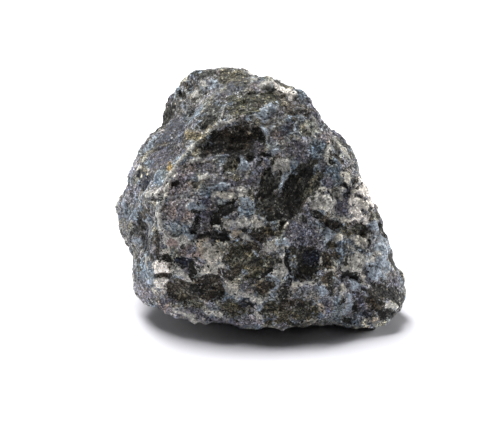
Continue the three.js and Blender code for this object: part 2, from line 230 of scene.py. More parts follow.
# The patches of mineral on the side in the photograph, as its picture shows them, the upper ones last. Across
# and up are from the picture's middle, and the length and the width are halves.
Patch = namedtuple("Patch", "kind across up length width angle", defaults=(0,))
PATCHES = (
    # back lobe, partly darkened with painted shade
    ("olive", -3.6, 29.3, 3.4, 1.5), ("dark", -9.3, 29.9, 2.2, 1, 15), ("pale", -9.6, 27.6, 0.8, 0.7, 30),
    ("mist", -7.3, 28, 0.8, 1.1), ("mist", -8.7, 26.9, 3.1, 0.45, 15), ("brown", -12.5, 27.1, 0.9, 0.8),
    ("dark", -14.1, 25.6, 0.7, 0.8), ("slate", -17, 24.7, 1.2, 1, 60), ("grey", -13.3, 23.2, 2.2, 1.8),
    ("dark", -17.2, 22, 2.8, 1.6, 80), ("dark", -18.1, 19.7, 1.4, 1, 60), ("grey", -9.8, 24.7, 1.6, 0.8, 10),
    ("pale", -11.4, 25.5, 1.2, 0.6, 20), ("blue", -12, 21, 2.4, 0.6, 40), ("ash", -15.8, 19.5, 2.4, 1.2, 10),
    ("umber", -13.3, 20.6, 0.8, 0.5, 30),
    # left shoulder, its upper part darkened with painted shade
    ("ash", -16.2, 16.2, 3.8, 2.6, 35), ("ash", -17.6, 11.2, 2.2, 0.9, 50),
    ("mist", -20.8, 15.2, 2.3, 0.4, 50), ("brown", -17.6, 15.2, 0.9, 0.4),
    ("brown", -14.6, 16.6, 1.3, 0.8, -60), ("slate", -19.1, 12.4, 2.6, 1.9, 30),
    ("slate", -14.5, 14, 1.8, 0.9, 20), ("olive", -22.6, 8.7, 1.4, 0.8, 70),
    ("cream", -23.4, 9.8, 1.3, 0.3, 65), ("lilac", -24.3, 10.4, 2, 0.8, 60),
    ("blue", -18.7, 8.5, 2.2, 1.6, 30), ("tan", -11.4, 17, 2.2, 1.1, -15),
    ("rust", -16.6, 10.6, 0.8, 0.5, 60), ("blue", -21, 11.2, 1, 0.5, 40),
    # left flank
    ("lilac", -24.7, 5.8, 1.2, 1.6, 80), ("blue", -24.3, 0.6, 1.4, 3.6, 80), ("mist", -26.1, 1.8, 2, 0.5, 95),
    ("ink", -22.7, 7.6, 2.2, 1.3, 78), ("pale", -20.3, 4.4, 0.8, 1.6, 60),
    ("brown", -22.4, 1.2, 1.5, 1.2, 60), ("dark", -23.4, -2.1, 1.8, 1.3, 70),
    ("ink", -21.6, -4.4, 2.8, 1.2, 97), ("mist", -23.5, -5, 0.8, 1.4, 80),
    ("dark", -20.8, -8.3, 1.5, 0.8, 110), ("blue", -22.4, -11, 1.8, 3.8, 90),
    ("lilac", -22.8, -16.4, 1.4, 2.4, 90), ("mist", -20.9, -13.3, 0.9, 0.8), ("pale", -21.6, -9.1, 0.6, 1),
    ("lilac", -20.3, -15.8, 0.9, 1.5, 60),
    # ridge on the left
    ("pale", -17.4, 6, 3.2, 0.6, 60), ("pale", -19.1, 0.6, 3.6, 0.7, 95), ("dark", -19.9, 4, 0.4, 1.4, 100),
    ("cream", -17.9, 4.8, 1, 0.35, 60),
    # top, partly darkened with painted shade
    ("ash", -2.5, 27.4, 2.6, 1, 15), ("mauve", 1.2, 27.4, 1.5, 1), ("slate", -3.1, 28.4, 2.2, 0.3, 10),
    ("pale", 1.2, 29.1, 1, 0.45, -10), ("pale", 3.4, 27.2, 1.8, 0.8, -25), ("white", 7.1, 26, 2.4, 1.4, -35),
    ("white", 5.6, 27.4, 1.5, 0.45, -30), ("blue", 10.6, 26, 1.9, 0.9, -50),
    ("slate", 13.3, 22.6, 2.2, 0.7, -62), ("slate", -4.8, 25, 2.4, 1),
    # olive top
    ("dark", -8.5, 21, 3.6, 1.5, 50), ("moss", 0.6, 24.5, 5.2, 1.4), ("moss", -1.2, 22.4, 4.2, 1.3, 8),
    ("moss", 5.4, 24.7, 2.4, 1.2, -25), ("brown", 7.7, 23.4, 2.6, 0.8, -48),
    ("brown", 11, 22.4, 1.6, 0.9, -40), ("dark", -5.1, 21.6, 1.5, 0.7, 75),
    ("pale", -5.7, 21.4, 1.6, 0.2, 72), ("mist", 3.7, 22.2, 2, 1.3, 35), ("olive", -3.1, 20.8, 1.5, 0.6, 20),
    ("sand", 1.9, 20.2, 1.7, 0.7, -35), ("brown", 2.1, 23.5, 1.2, 0.4, -10),
    # brow and the hollow under it: the pale line along the rim is partly a painted highlight, and the black
    # under it partly painted shade
    ("pale", -16.2, 9.7, 2.4, 0.3, 52), ("pale", -13.9, 12.5, 2, 0.3, 50),
    ("pale", -12.2, 14.6, 1.4, 0.3, 45), ("pale", -10.8, 15.9, 0.9, 0.3, 45),
    ("pale", -8.9, 17.5, 1.5, 0.3, 40), ("pale", -6.6, 19.1, 1.5, 0.25, 25),
    ("cream", -4.3, 20, 1.4, 0.2, 12), ("umber", -3.1, 16, 4.2, 2.5, 8), ("brown", 0.4, 18.2, 2.8, 1.2, -35),
    ("black", -8.1, 14.5, 2.4, 1.2, 8), ("black", -2.1, 12.9, 3.2, 1.5, -10), ("umber", -8.7, 14, 0.7, 0.5),
    ("dark", 2.3, 16.8, 1, 0.9), ("dark", -8.1, 16.6, 2.2, 1, 45),
    # between the brow and the long crystal
    ("slate", 1, 14.7, 2.1, 2), ("black", 3.3, 12.9, 1, 0.6), ("mist", 3.1, 18.2, 0.9, 0.5, -45),
    ("slate", 8.1, 19.1, 1.1, 1), ("mauve", 6.2, 17.2, 1, 1.5, 90), ("slate", 8.9, 14.5, 2.2, 1.5),
    ("pale", 12.7, 17.6, 1.9, 0.35, -50), ("sand", 11.6, 18.3, 1.4, 1.2), ("pale", 13.3, 20, 1.5, 0.4, -60),
    ("mauve", 15.6, 16.6, 1.5, 1.3), ("blue", 14.1, 14.1, 1.6, 2), ("mist", 5.4, 13.7, 1, 0.8),
    ("blue", 8.1, 10.4, 1.4, 1.8, 70), ("mist", 7.2, 9.4, 1.6, 0.5, 70), ("olive", 5.2, 10.6, 1.9, 1.2, 70),
    ("lilac", 1.9, 10.8, 1.8, 1.8), ("mist", -1.2, 11.4, 0.8, 1.2), ("mauve", 1, 8.5, 0.9, 0.6),
    ("slate", 11.2, 12.4, 1.4, 0.8),
    # below the brow
    ("mauve", -13.7, 9.5, 2.8, 1.8, 30), ("slate", -9.1, 10.2, 1.7, 1.3), ("pale", -11.2, 12.2, 0.9, 0.7),
    ("olive", -3.9, 11, 1.5, 1.1, 80), ("khaki", -2.7, 8.7, 0.8, 1.4, 60), ("slate", -0.8, 7.5, 0.9, 2.2, 90),
    ("mauve", -14.9, 6.4, 3, 1.4), ("umber", -15.8, 7, 0.8, 0.5), ("umber", -11.4, 6.8, 0.9, 0.8),
    ("mist", -6, 6.6, 1.6, 0.8), ("slate", -3.6, 7.6, 1.3, 0.9), ("blue", -8.1, 5.4, 1.2, 1),
    ("cream", -5.4, 4.6, 1.7, 0.7, -10), ("pale", -7.5, 4.6, 0.7, 1.1, 60), ("mist", -0.4, 2.9, 1.2, 1.5, 80),
    ("pale", -1.2, 5.2, 0.6, 1.1), ("pale", -9.5, 8.3, 0.9, 0.5, 20),
    # the long crystal, and the one to its left
    ("dark", 9.4, 5.2, 7, 2.7, 62), ("dark", 13.4, 7.4, 3, 1.2, 62), ("olive", 12.6, 6.4, 3.8, 0.7, 63),
    ("dark", 3.9, 5.6, 5.2, 2.2, 78), ("dark", 5.4, 1.5, 3.6, 2.4, 10), ("black", 8.9, 3.5, 2.6, 1.1, 62),
    ("black", 12.2, 9.4, 1.4, 1, 62), ("pale", 6.3, 10.6, 2.2, 1.8, 65), ("mist", 6.9, 7.6, 2.2, 0.5, 68),
    ("pale", 5.1, 3.1, 1.2, 0.12, 88), ("white", 6.4, 1.2, 0.6, 0.12, -35), ("umber", 4.1, 1.9, 0.8, 0.5),
    # left of the middle
    ("mauve", -14.5, 1.8, 3.3, 2.4), ("mist", -11.2, 2.5, 1.3, 0.9, 20), ("blue", -13.9, -2.9, 2.4, 1.6),
    ("slate", -9.3, 0.4, 1.2, 2.2, 90), ("black", -11.5, -1.6, 1.8, 0.9, 75),
    ("black", -4.9, 1.9, 2.7, 1.4, 18), ("black", -7.2, -0.6, 2.6, 1.2, 85),
    ("black", -6.2, -3.7, 2.9, 0.9, -6), ("dark", -9.9, -4.3, 1, 0.8), ("mist", -13.5, -3.7, 1.2, 0.7),
    ("slate", -9, 3.4, 1.1, 0.8),
    # middle ledge
    ("blue", 0.6, 1.2, 2.6, 0.9, 5), ("pale", -0.6, -0.9, 3.2, 0.9, 5), ("pale", -6.2, -2.1, 1.4, 0.6, -10),
    ("beige", -2.9, -3.1, 1, 1.2, 90), ("pale", -1, -3.9, 0.8, 0.8), ("cream", 1.2, -0.6, 1, 0.5),
    ("umber", 1.7, -3.6, 1.7, 1.5), ("olive", 4.8, -3, 2.1, 0.9), ("slate", 10.6, -3.1, 3.8, 2.3, -15),
    ("cream", 7.5, -1.6, 0.8, 0.3, 45),
    # the pale patch right of the long crystal
    ("pale", 15.3, 3.3, 2.6, 1.8), ("cream", 15.8, 5.7, 1.1, 0.6, 5), ("cream", 15.2, 2.1, 0.8, 0.4),
    ("pale", 18.1, 4.8, 1.3, 1.1), ("slate", 19.6, 2.3, 1.9, 1.7, 80), ("cream", 19.1, -0.2, 2.4, 0.6, -5),
    ("white", 22.4, 3.3, 1.9, 1, -20), ("cream", 23.8, 3, 1.4, 0.9, -30), ("white", 22.8, 0.2, 2.2, 1.2, -15),
    ("cream", 24.6, 0.9, 0.9, 0.4, 30), ("dark", 14.3, 0.8, 1.5, 0.7, -20),
    # right shoulder
    ("slate", 18.3, 17.2, 1.8, 0.9, -40), ("dark", 19.3, 14.6, 2.2, 1.3, -55),
    ("umber", 18.9, 12, 2, 0.4, -42), ("brown", 20.8, 12.6, 1.6, 0.7, -60),
    ("pale", 16.3, 13.6, 1.6, 0.45, 80), ("dark", 17, 11.6, 0.8, 0.6), ("blue", 17.4, 9.3, 1.9, 1.4, -15),
    ("cream", 20.1, 8.1, 1.6, 1, 85), ("brown", 22, 7.7, 1.1, 0.8, 80), ("slate", 16.2, 7.3, 1.2, 1.4),
    ("black", 20, 6.6, 0.8, 0.35, -30), ("white", 23.6, 5.4, 2.4, 1.1, -50),
    ("white", 25.4, 2.9, 2.2, 0.7, -52), ("white", 22.9, 8.3, 1.6, 0.4, -75), ("cream", 21.4, 5.6, 0.6, 0.4),
    ("dark", 19.7, 10.2, 1.1, 0.5, 15),
    # right ledge
    ("brown", 17.4, -1.2, 2.5, 1.1, -22), ("khaki", 21.2, -2.4, 2.4, 0.9, -10),
    ("cream", 22.6, -4.2, 1.8, 0.9, -10), ("cream", 22.2, -5.3, 1.2, 0.7),
    ("black", 24.9, -4.8, 0.8, 0.4, 80), ("mist", 26, -1.7, 1.5, 1.4), ("olive", 26.8, 0.6, 1.4, 0.8, -40),
    ("dark", 27.9, -3.2, 2.8, 0.6, -75), ("mist", 27.2, -6.6, 3.4, 1.3, 100), ("mist", 25.2, -8.9, 2.8, 1.8),
    ("pale", 25.6, -8.1, 1.8, 0.6, 40), ("dark", 29.4, -7.9, 1.8, 0.3, -70),
    ("cream", 18.5, -4.1, 1.2, 0.6, 30), ("mist", 16.2, -3, 1.3, 0.9, -50),
    ("blue", 18.9, -6.6, 2.6, 1.1, 85), ("pale", 22, -8.6, 2, 1.5), ("pale", 21.4, -10.8, 2.2, 1, -10),
    ("olive", 17.2, -5.6, 1.3, 0.6),
    # pale patches in the middle
    ("pale", 4.6, -5.7, 1.8, 1.1, 15), ("pale", 5.9, -7.9, 1.8, 1.6), ("cream", 7.3, -6.3, 1.3, 0.4, 10),
    ("mist", 6.6, -5.2, 1.8, 0.7), ("mist", 5.4, -12.4, 2.6, 1.7, 35), ("pale", 6, -10.4, 2, 1.8, 60),
    # the block
    ("dark", 12, -9.4, 3.5, 2.5, 88), ("ink", 12.8, -8.3, 1.6, 1.5), ("black", 8.1, -9.8, 2.7, 0.5, 96),
    ("khaki", 9.3, -10, 2.8, 0.35, 95), ("brown", 15.8, -9.1, 1.9, 1.2, 90),
    ("cream", 14.7, -8.9, 1.4, 0.3, 95), ("cream", 16.6, -10.7, 1.5, 0.35, 10), ("brown", 17.4, -7.9, 1.3, 1),
    ("dark", 20.6, -12, 1.3, 0.6, -12), ("dark", 17.2, -14.1, 0.8, 1.3), ("brown", 16.2, -12.5, 1.5, 0.9),
    ("mist", 18, -12.8, 1.2, 0.4, -40),
    # low left
    ("brown", -19.4, -5.4, 2.8, 0.8, 95), ("pale", -15.4, -4.7, 2.6, 1.5), ("pink", -16.1, -5.3, 1.3, 1),
    ("mauve", -12.9, -6.5, 1.8, 1.1), ("beige", -9.5, -6.2, 2.4, 1.6, 90),
    ("cream", -7.9, -8.4, 2.6, 1.6, 100), ("pale", -8.7, -5.4, 1.2, 0.7),
    ("cream", -17.4, -6.8, 1.5, 0.6, 20), ("pink", -11.6, -7.5, 1.6, 0.7), ("lilac", -10.6, -9.3, 1.3, 0.9),
    ("dark", -17, -9, 1.6, 1.1, -35), ("ink", -14, -9, 2, 0.9, -12), ("dark", -12, -10.6, 1.6, 0.6, 105),
    ("grey", -15.9, -10.2, 1, 0.9), ("white", -18.4, -10.5, 1.6, 1.6), ("pale", -14.3, -11.7, 2.6, 0.9, -32),
    ("cream", -9, -10.7, 2, 0.6, 8), ("pale", -6, -10.4, 1.5, 1.1), ("cream", -19, -13.6, 0.9, 1.7, -20),
    ("brown", -18.1, -12, 1.6, 0.5), ("white", -18.3, -13.9, 1.5, 1.2),
    # the big crystal low on the left
    ("brown", -13.7, -15.2, 3.9, 2.3, -8), ("brown", -8.7, -14.4, 3.4, 2.8), ("dark", -11, -15.2, 1.8, 1.3),
    ("dark", -6.6, -16, 1.2, 1), ("khaki", -14.7, -16, 1.2, 0.7),
    # striated crystals in the middle
    ("olive", -2.3, -8.3, 3.2, 2.9, 40), ("khaki", 2.2, -10.2, 4.2, 1.8, 36),
    ("khaki", -3.7, -9.4, 1.1, 0.8, 60), ("umber", -2.4, -10.9, 1.2, 0.7, 40),
    ("moss", 0.7, -12.2, 1.7, 0.7, 35), ("brown", 2.9, -14.3, 2.4, 1.4, 38),
    ("black", 1.4, -8.8, 1.9, 0.4, 25), ("straw", -0.2, -10.3, 1.2, 0.25, 39),
    ("black", 2.3, -12.2, 3.5, 0.45, 35), ("straw", 1.6, -13.6, 1.9, 0.3, 28), ("dark", 6.9, -15.6, 1.2, 2.3),
    ("umber", 0.6, -5.6, 2, 0.8, -20), ("brown", -4.6, -11.6, 1.5, 1.2),
    # bottom left
    ("pale", -2.9, -15.3, 3, 0.9, -25), ("cream", -4, -13.9, 1.8, 0.6, -30), ("blue", -4.8, -16.2, 1.4, 1.3),
    ("olive", -3.6, -18.7, 2.7, 1.6, -20), ("ink", -0.7, -17.8, 1.6, 1.4),
    ("pale", -7.1, -19.9, 1.6, 0.7, -20), ("slate", -10.6, -20.6, 2.8, 1.1, -20),
    ("pale", -20.4, -19, 1.6, 0.8, -30), ("mauve", -17.7, -18.7, 1.8, 0.7, -20),
    ("slate", -16.6, -17.2, 1.8, 0.7), ("khaki", -11.4, -18, 2.2, 0.7, -15),
    ("pale", -13.1, -20.1, 2.4, 0.5, -22), ("slate", -4.4, -22, 3.2, 0.8, -8),
    ("pale", 2.4, -19.8, 1.4, 0.9, -30), ("pale", 1.3, -17, 1.4, 0.9, -40), ("mist", 2.7, -19, 0.9, 1.7, 70),
    ("lilac", 0.4, -21.4, 2, 1),
    # bottom
    ("olive", 5.8, -19.6, 3.2, 2.1), ("olive", 11, -19.3, 2.8, 1.9), ("brown", 8.7, -17.9, 2.8, 0.8),
    ("pale", 10.9, -13.5, 2.8, 0.5, 9), ("cream", 9.2, -14.1, 1.1, 0.45), ("grey", 11.2, -15.8, 3.8, 1.2),
    ("mist", 15.2, -15.2, 1.5, 0.9, -20), ("beige", 14.5, -18.3, 1.9, 0.5, -62),
    ("slate", 16, -18.4, 1.3, 1.4), ("grey", 11.8, -22, 3, 0.7, 15), ("black", 10.9, -18.9, 1.1, 0.3, -60),
    # bottom right
    ("cream", 19.4, -14.9, 1.6, 0.7, 72), ("mist", 20.3, -17.9, 1.9, 0.8, 75),
    ("blue", 18.2, -18.9, 2.4, 1, 88), ("mist", 21.8, -13.8, 1.6, 1.2), ("slate", 23, -17.2, 2.6, 1.3, -75),
    ("black", 21.8, -19.4, 1.4, 0.6, 80), ("mist", 26.6, -11.7, 2.4, 1.1),
    ("cream", 23.3, -12.6, 1.2, 0.4, 60), ("dark", 27.4, -15.4, 3.4, 1.7, -16),
    ("black", 30, -15.8, 2.1, 1.3, -50), ("black", 31.9, -16.6, 1.1, 0.8, 70),
    ("pale", 29.2, -18.2, 1.8, 0.6, -8), ("black", 29.3, -20, 2.4, 1.2, 15), ("umber", 26, -17.6, 1.6, 1.6),
    ("beige", 25.6, -20.6, 1.3, 0.8), ("ink", 24.1, -20, 1.4, 0.6, -50), ("slate", 30, -12.9, 1.4, 0.7, -60),
    ("dark", 20.2, -21.4, 1.1, 0.7), ("blue", 21.9, -21.6, 0.9, 0.7), ("pale", 24, -14, 0.9, 0.5, -30),
)

# Where the small painted glints crowd together, the same way
SPARKLES = (
    (-14.5, 0.6, 5.5, 3.8), (-12.5, 5.8, 3.5, 1.3), (-18.7, 3.7, 3, 1.5, 80), (11.4, -2.5, 4, 2, -15),
    (6.6, 14.1, 4, 4), (-8.3, 22.4, 3.5, 2.5, 50), (0, 24.5, 6, 2), (7.3, -19.5, 6, 2.5),
    (27, -4.6, 4, 2, 100),
)

BRIGHTNESS = 1.345
VIVIDNESS = 2.0


def linear(colour):
    """A colour of the screen as an amount of light, by the sRGB rule."""
    share = np.array(colour) / 255
    return np.where(share < 0.04045, share / 12.92, ((share + 0.055) / 1.055) ** 2.4)


def vivid(colour):
    """A colour made lighter and stronger, because the gloss and the fine grain grey it."""
    grey = colour.mean()
    return BRIGHTNESS * (grey + VIVIDNESS * (colour - grey))


PALETTE = {name: vivid(linear(colour)) for name, (_, colour) in MINERALS.items()}

# How the edges of the crystals are bent: wavelength, height and seed
EDGE_WAVES = ((3.0, 0.36, 40), (1.3, 0.26, 50))

# How far a patch reaches in depth from the face at its middle, and how much further for its length
PATCH_DEPTH = 3.0
DEPTH_PER_LENGTH = 1.8

# A patch is fuller than an ellipse. The depth inside it ends at the limit, and grows as if the patch had at
# least the thin width.
FULLNESS = 3
FIELD_LIMIT = 1.5
THIN = 0.9

# The face is looked for this near to a patch's middle, or this much past the nearest point if that is further
NEAR_PLACE = 0.8
NEAR_MORE = 0.3


class Stone:
    """The fine mesh as it is built up, and what is known at each of its points."""

    def __init__(self, node):
        points, triangles = welded_mesh(node)
        for _ in range(DIVISIONS):
            points, triangles = divided(points, triangles)
        self.points = smoothed(points, triangles)
        self.triangles = triangles
        self.resting = self.points[:, 2] < FLOOR_LEVEL
        self.normals = normals_of(self.points, triangles)
        self.picture = in_picture(self.points)
        self.facing = (of_length_one(EYE - self.points) * self.normals).sum(axis=1)
        self.bent = self.points.copy()
        for wavelength, height, seed in EDGE_WAVES:
            self.bent += height * noise_vectors(self.points, wavelength, seed)
        self.bent_picture = in_picture(self.bent)

    def move_out(self, heights):
        self.points = self.points + self.normals * heights[:, None]

    def depth_at(self, across, up):
        """Depth of the nearest part of the stone that the picture shows at a place."""
        gap = np.hypot(self.picture[:, 0] - across, self.picture[:, 1] - up)
        near = (gap < max(NEAR_PLACE, gap.min() + NEAR_MORE)) & (self.facing > 0)
        return self.picture[near, 2].min()

    def field(self, across, up, length, width, angle=0):
        """The points near a patch, and how deep each is inside it, in millimetres; less than 0 outside."""
        away = np.hypot(self.bent_picture[:, 0] - across, self.bent_picture[:, 1] - up)
        near = np.flatnonzero(away < max(length, width) + 2 * FIELD_LIMIT)
        turn = math.radians(angle)
        dx = self.bent_picture[near, 0] - across
        dy = self.bent_picture[near, 1] - up
        dz = self.picture[near, 2] - self.depth_at(across, up)
        along = (dx * math.cos(turn) + dy * math.sin(turn)) / length
        beside = (dy * math.cos(turn) - dx * math.sin(turn)) / width
        deep = dz / (PATCH_DEPTH + DEPTH_PER_LENGTH * max(length, width))
        parts = np.abs(np.stack([along, beside, deep])) ** FULLNESS
        radius = parts.sum(axis=0) ** (1 / FULLNESS)
        depth = (1 - radius) * max(min(length, width), THIN)
        return near, np.clip(depth, -FIELD_LIMIT, FIELD_LIMIT)


# Random packings, one grain to each cell of a grid: how far a grain's middle can be off its cell's, in cells,
# and how far off grains still count
Packing = namedtuple("Packing", "size seed stretch")
MIDDLE_SHIFT = 0.45
GRAIN_REACH = 3

# What the random draws of a grain are for; its middle takes the first three
WAY_DRAW = 3
STEP_DRAW = 5
LEAN_DRAW = 6
TONE_DRAW = 7
KIND_DRAW = 9
SHADE_DRAW = 12


def grains_around(points, packing):
    """The grains near each point, one after another: the grain's cell, its middle, and how far off it is in
    cells. Grains are longer one way than the others, each in a way of its own."""
    scaled = points / packing.size
    base = np.floor(scaled)
    shorter = 1 - 1 / packing.stretch ** 2
    for step in product((-1, 0, 1), repeat=3):
        cell = base + np.array(step)
        middle = cell + 0.5 + MIDDLE_SHIFT * random_vectors(cell, packing.seed)
        way = of_length_one(random_vectors(cell, packing.seed, WAY_DRAW))
        offset = scaled - middle
        along = (offset * way).sum(axis=1)
        yield cell, middle * packing.size, np.sqrt((offset ** 2).sum(axis=1) - shorter * along ** 2)


def grain_cells(points, packing):
    """The cell of the grain that each point is in."""
    nearest = np.full(len(points), np.inf)
    cells = np.zeros_like(points)
    for cell, _, gap in grains_around(points, packing):
        closer = gap < nearest
        nearest[closer] = gap[closer]
        cells[closer] = cell[closer]
    return cells


def grain_field(points, packing, share_at):
    """How deep each point is inside the chosen share of the grains, in millimetres; less than 0 outside."""
    inside = outside = np.full(len(points), float(GRAIN_REACH))
    for cell, middle, gap in grains_around(points, packing):
        chosen = random_of(cell, packing.seed, KIND_DRAW) < share_at(middle)
        inside = np.where(chosen, np.minimum(inside, gap), inside)
        outside = np.where(chosen, outside, np.minimum(outside, gap))
    return np.clip((outside - inside) * packing.size / 2, -FIELD_LIMIT, FIELD_LIMIT)


# The grains that aren't listed as patches: dark ones in clusters, small dark ones, pale ones
DARK_GRAINS = Packing(3.5, 11, 1.7)
DARK_SHARE = 0.4
CLUSTER_STRENGTH = 0.5
CLUSTER_NOISE = (9.0, 23)
SMALL_GRAINS = Packing(1.5, 17, 1.5)
SMALL_SHARE = 0.14
PALE_GRAINS = Packing(2.6, 19, 1.6)
PALE_SHARE = 0.13


def clustered_share(middle):
    return DARK_SHARE + CLUSTER_STRENGTH * noise(middle, *CLUSTER_NOISE)


# Feldspar grains of other tones than grey, and the draws that give them
TONE_GRAINS = Packing(2.3, 61, 1.6)
TONES = (("slate", 0.0, 0.24), ("blue", 0.24, 0.5), ("sand", 0.5, 0.66), ("lilac", 0.82, 1.0))
TONE_STRENGTH = 0.55


def feldspar_colour(stone):
    pick = random_of(grain_cells(stone.bent, TONE_GRAINS), TONE_GRAINS.seed, TONE_DRAW)[:, None]
    colour = np.tile(PALETTE["grey"], (len(stone.points), 1))
    for tone, low, high in TONES:
        toned = (1 - TONE_STRENGTH) * colour + TONE_STRENGTH * PALETTE[tone]
        colour = np.where((pick >= low) & (pick < high), toned, colour)
    return colour


# How far past its edge a crystal gives its colour and the way it runs, and a tint's border and strength
BORDER_REACH = 0.4
TINT_BORDER = 0.5
TINT_SHARE = 0.85


def lay_patches(stone, fields, colours):
    """Lays the patches over the stone. The fields hold the depth inside the dark and the light crystals; the
    owner of a point is the uppermost patch there, and its edge is how far off the nearest border is."""
    stone.owner = np.full(len(stone.points), -1)
    stone.edge = np.full(len(stone.points), FIELD_LIMIT)
    for number, patch in enumerate(Patch(*numbers) for numbers in PATCHES):
        near, depth = stone.field(*patch[1:])
        stone.owner[near[depth > 0]] = number
        stone.edge[near] = np.where(depth > 0, depth, np.minimum(stone.edge[near], np.abs(depth)))
        habit = MINERALS[patch.kind][0]
        if habit == "tint":
            share = TINT_SHARE * smoothstep(-TINT_BORDER, TINT_BORDER, depth)[:, None]
            stone.colour[near] = stone.colour[near] * (1 - share) + PALETTE[patch.kind] * share
            continue
        field = fields[habit]
        other = fields["light" if habit == "dark" else "dark"]
        # A patch colours all that it covers, and past its edge what no patch of its sort is nearer to
        covered = (depth > 0) | (depth > np.maximum(field[near], -BORDER_REACH))
        colours[habit][near[covered]] = PALETTE[patch.kind]
        field[near] = np.maximum(field[near], depth)
        other[near] = np.minimum(other[near], -depth)
        if habit == "dark":
            turn = math.radians(patch.angle)
            stone.run[near[depth > -BORDER_REACH]] = RIGHT * math.cos(turn) + UP * math.sin(turn)


# Waves that widen and narrow the crystals: wavelength, height and seed
OUTLINE_WAVES = (("light", 1.7, 1.3, 131), ("dark", 2.1, 0.7, 137))

# The patches fade into the random grains where the face turns away from the picture
FRONT = (0.12, 0.38)

# Small dark grains are cut back and keep clear of light crystals; pale ones overlap dark ones a little
SMALL_CUT = 0.5
SMALL_CLEARANCE = 0.1
PALE_OVERLAP = 0.3

# Crystals that aren't listed as patches run one way in each cell of this size
RUN_CELL = 6
RUN_SEED = 31

# Faces that look up get a painted shade: their colour is darkened against the light from above
UPWARD_SHADE_FACING = (0.35, 0.9)
UPWARD_SHADE_STRENGTH = 0.36

# Depths inside a sparkling place at which the sparkle starts and is full
SPARKLE_EDGE = (-0.5, 1.0)


def lay_crystals(stone):
    """Gives each point its mineral: the depth inside a dark and a light crystal, the colours of both and of
    the feldspar, and the way that its dark crystal runs."""
    count = len(stone.points)
    stone.front = smoothstep(*FRONT, stone.facing)
    stone.colour = feldspar_colour(stone)
    stone.run = random_vectors(np.floor(stone.bent / RUN_CELL), RUN_SEED)
    fields = {habit: np.full(count, -FIELD_LIMIT) for habit in ("dark", "light")}
    colours = {"dark": np.tile(PALETTE["dark"], (count, 1)), "light": np.tile(PALETTE["pale"], (count, 1))}
    lay_patches(stone, fields, colours)
    stone.run = of_length_one(stone.run)
    for habit, wavelength, height, seed in OUTLINE_WAVES:
        fields[habit] += height * noise(stone.bent, wavelength, seed)

    small = grain_field(stone.bent, SMALL_GRAINS, lambda middle: SMALL_SHARE) - SMALL_CUT
    small = np.minimum(small, -SMALL_CLEARANCE - fields["light"])
    packed = grain_field(stone.bent, DARK_GRAINS, clustered_share)
    pale = grain_field(stone.bent, PALE_GRAINS, lambda middle: PALE_SHARE)
    pale = np.minimum(pale, PALE_OVERLAP - packed)
    stone.dark = stone.front * np.maximum(fields["dark"], small) + (1 - stone.front) * packed
    stone.light = stone.front * fields["light"] + (1 - stone.front) * pale

    brown = random_of(grain_cells(stone.bent, DARK_GRAINS), DARK_GRAINS.seed, SHADE_DRAW)[:, None] ** 2
    packed_colour = PALETTE["dark"] * (1 - brown) + PALETTE["brown"] * brown
    front = stone.front[:, None]
    stone.dark_colour = front * colours["dark"] + (1 - front) * packed_colour
    stone.light_colour = colours["light"]


def shade_upward_faces(stone):
    # Painted shade: every colour is darkened on faces that look up, to take back the light from above
    upward_shade = smoothstep(*UPWARD_SHADE_FACING, stone.normals[:, 2])
    for colour in (stone.colour, stone.dark_colour, stone.light_colour):
        colour *= (1 - UPWARD_SHADE_STRENGTH * upward_shade)[:, None]


def lay_sparkle(stone):
    stone.sparkle = np.zeros(len(stone.points))
    for shape in SPARKLES:
        near, depth = stone.field(*shape)
        stone.sparkle[near] = np.maximum(stone.sparkle[near], smoothstep(*SPARKLE_EDGE, depth))


# Relief. The stone broke along its crystals, so it is all flats, each with a lean and a step of its own.
# The numbers are how flat they are, how much they lean, how far they step and, for the patches, a seed.

PATCH_FLATS = (0.80, 0.20, 0.16, 67)
WIDE_FLATS = Packing(4.6, 71, 1.5)
FINE_FLATS = (
    (Packing(2.6, 83, 1.5), 0.70, 0.16, 0.10),
    (Packing(1.2, 89, 1.5), 0.75, 0.25, 0.05),
)
FLAT_LIMIT = 0.7
SLANT_LIMIT = 0.5
FAR_CELL = 1000

# Grooves along the patches' edges, and the roughness: wavelength, height and seed
GROOVE_DEPTH = 0.08
GROOVE_WIDTH = 0.3
ROUGHNESS = ((1.3, 0.10, 91), (0.7, 0.10, 97))

# Dark crystals are sunk, but not in level faces, and have cleavage steps; light ones stand out. The pairs are
# the depths inside the crystal at which that starts and is full.
DARK_SINKS = 0.40
STEEP = 0.4
LEVEL = 0.85
DARK_STEP = (-0.2, 0.25)
CLEAVAGE_SPACING = 1.1
CLEAVAGE_STEP = 0.14
LIGHT_STANDS = 0.30
LIGHT_STEP = (-0.2, 0.3)

